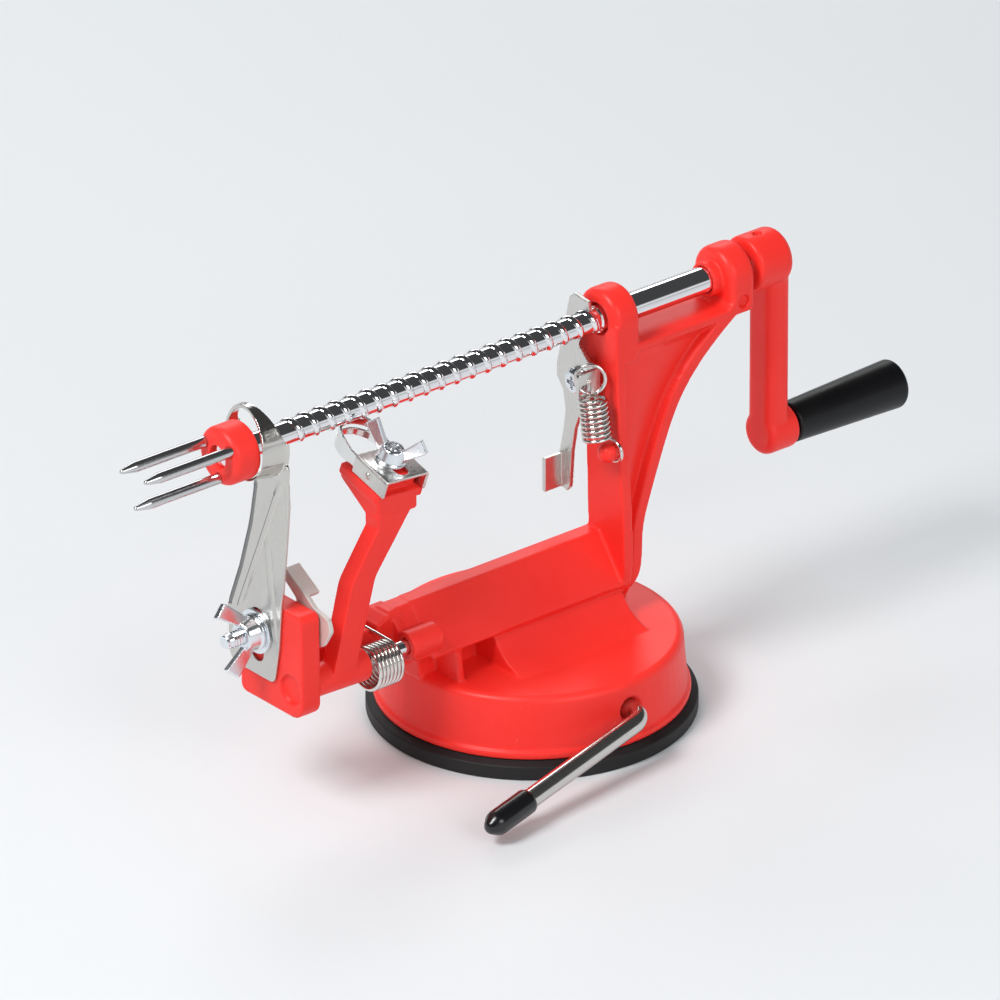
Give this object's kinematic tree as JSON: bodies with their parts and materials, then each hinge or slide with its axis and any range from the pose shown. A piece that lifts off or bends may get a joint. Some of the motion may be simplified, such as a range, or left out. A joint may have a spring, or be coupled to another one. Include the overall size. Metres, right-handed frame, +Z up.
{
  "type": "apple peeler",
  "caption": "Hand-cranked apple peeler, corer and slicer: a screw-fed fork on a suction base, with a sprung peeling arm and a ringed slicing blade.",
  "frame": {"origin": "on the table, under the middle of the rubber suction pad", "axes": "+Z up, +X along the feed shaft from the fork to the crank, -Y towards the peeling arm and the suction lever"},
  "size_m": [0.308, 0.1212, 0.1392],
  "materials": {
    "moulding": "semi-gloss moulded plastic, saturated red",
    "rubber_pad": "matte black rubber",
    "chrome_shaft": "polished chrome plate",
    "zinc_hardware": "bright zinc plate",
    "nickel_sheet": "nickel-plated sheet steel, lightly brushed",
    "spring_wire": "nickel-plated spring wire",
    "handle_plastic": "satin black plastic",
    "cap_vinyl": "dipped black vinyl, glossy"
  },
  "bodies": {
    "base": {"frame": "moulding", "suction_pad": "rubber_pad", "pivot_pin": "chrome_shaft", "thread_lever_screw": "zinc_hardware", "slicer_blade": "nickel_sheet", "slicer_stud": "zinc_hardware", "slicer_washer": "zinc_hardware", "catch_rivet": "zinc_hardware", "tension_spring": "spring_wire", "torsion_spring": "spring_wire"},
    "suction_handle": {"suction_lever": "chrome_shaft", "lever_cap": "cap_vinyl", "lever_clip": "spring_wire"},
    "suction_puller": {"suction_stem": "moulding"},
    "feed_carriage": {"hub_washer": "zinc_hardware"},
    "feed_screw": {"feed_shaft": "chrome_shaft", "fork_hub": "moulding", "fork_prongs": "nickel_sheet", "crank_arm": "moulding", "crank_pin": "chrome_shaft", "handle_pin": "zinc_hardware"},
    "crank_grip": {"crank_handle": "handle_plastic"},
    "thread_catch": {"thread_lever": "nickel_sheet"},
    "peeling_arm": {"peel_arm": "moulding", "peeler_bolt": "zinc_hardware"},
    "peeling_head": {"blade_holder": "nickel_sheet", "peeler_blade": "nickel_sheet"},
    "peeler_nut": {"peeler_wing_nut": "zinc_hardware"},
    "slicer_nut": {"slicer_wing_nut": "zinc_hardware"},
    "arm_catch": {"catch_lever": "nickel_sheet"}
  },
  "joints": [
    {"name": "feed_slide", "type": "slide", "parent": "base", "child": "feed_carriage", "axis": [1, 0, 0], "range_m": [0, 0.1182]},
    {"name": "feed_spin", "type": "hinge", "parent": "feed_carriage", "child": "feed_screw", "pos_m": [0, 0, 0.126], "axis": [1, 0, 0], "range_deg": [0, 6840]},
    {"name": "handle_spin", "type": "hinge", "parent": "feed_screw", "child": "crank_grip", "pos_m": [0.13, 0, 0.0648], "axis": [1, 0, 0], "continuous": true},
    {"name": "thread_lever_swing", "type": "hinge", "parent": "base", "child": "thread_catch", "pos_m": [0.0243, 0.0044, 0.1042], "axis": [-1, 0, 0], "range_deg": [0, 12], "stiffness_Nm_per_rad": 0.02, "springref_deg": -17.19, "deforming": ["tension_spring"]},
    {"name": "peel_arm_swing", "type": "hinge", "parent": "base", "child": "peeling_arm", "pos_m": [-0.088, -0.0113, 0.0446], "axis": [1, 0, 0], "range_deg": [0, 50], "stiffness_Nm_per_rad": 0.02, "springref_deg": -45.84, "deforming": ["torsion_spring"]},
    {"name": "catch_swing", "type": "hinge", "parent": "base", "child": "arm_catch", "pos_m": [-0.0975, -0.003, 0.065], "axis": [1, 0, 0], "range_deg": [0, 22]},
    {"name": "suction_turn", "type": "hinge", "parent": "base", "child": "suction_handle", "pos_m": [0, -0.02, 0.017], "axis": [0, 1, 0], "range_deg": [0, 180]},
    {"name": "suction_pull", "type": "slide", "parent": "base", "child": "suction_puller", "axis": [0, 0, 1], "range_m": [0, 0.0026]},
    {"name": "slicer_nut_spin", "type": "hinge", "parent": "base", "child": "slicer_nut", "pos_m": [-0.1125, 0.0036, 0.0598], "axis": [1, 0, 0], "continuous": true},
    {"name": "blade_depth", "type": "slide", "parent": "peeling_arm", "child": "peeling_head", "axis": [0, -0.9632, -0.2689], "range_m": [0, 0.0014]},
    {"name": "peeler_nut_spin", "type": "hinge", "parent": "peeling_arm", "child": "peeler_nut", "pos_m": [-0.06456, -0.01057, 0.11126], "axis": [0.1045, -0.2674, 0.9579], "continuous": true}
  ],
  "couplings": [
    {"joint": "feed_slide", "follows": "feed_spin", "m_per_rad": 0.00098676},
    {"joint": "suction_pull", "follows": "suction_turn", "m_per_rad": 0.00082761}
  ]
}
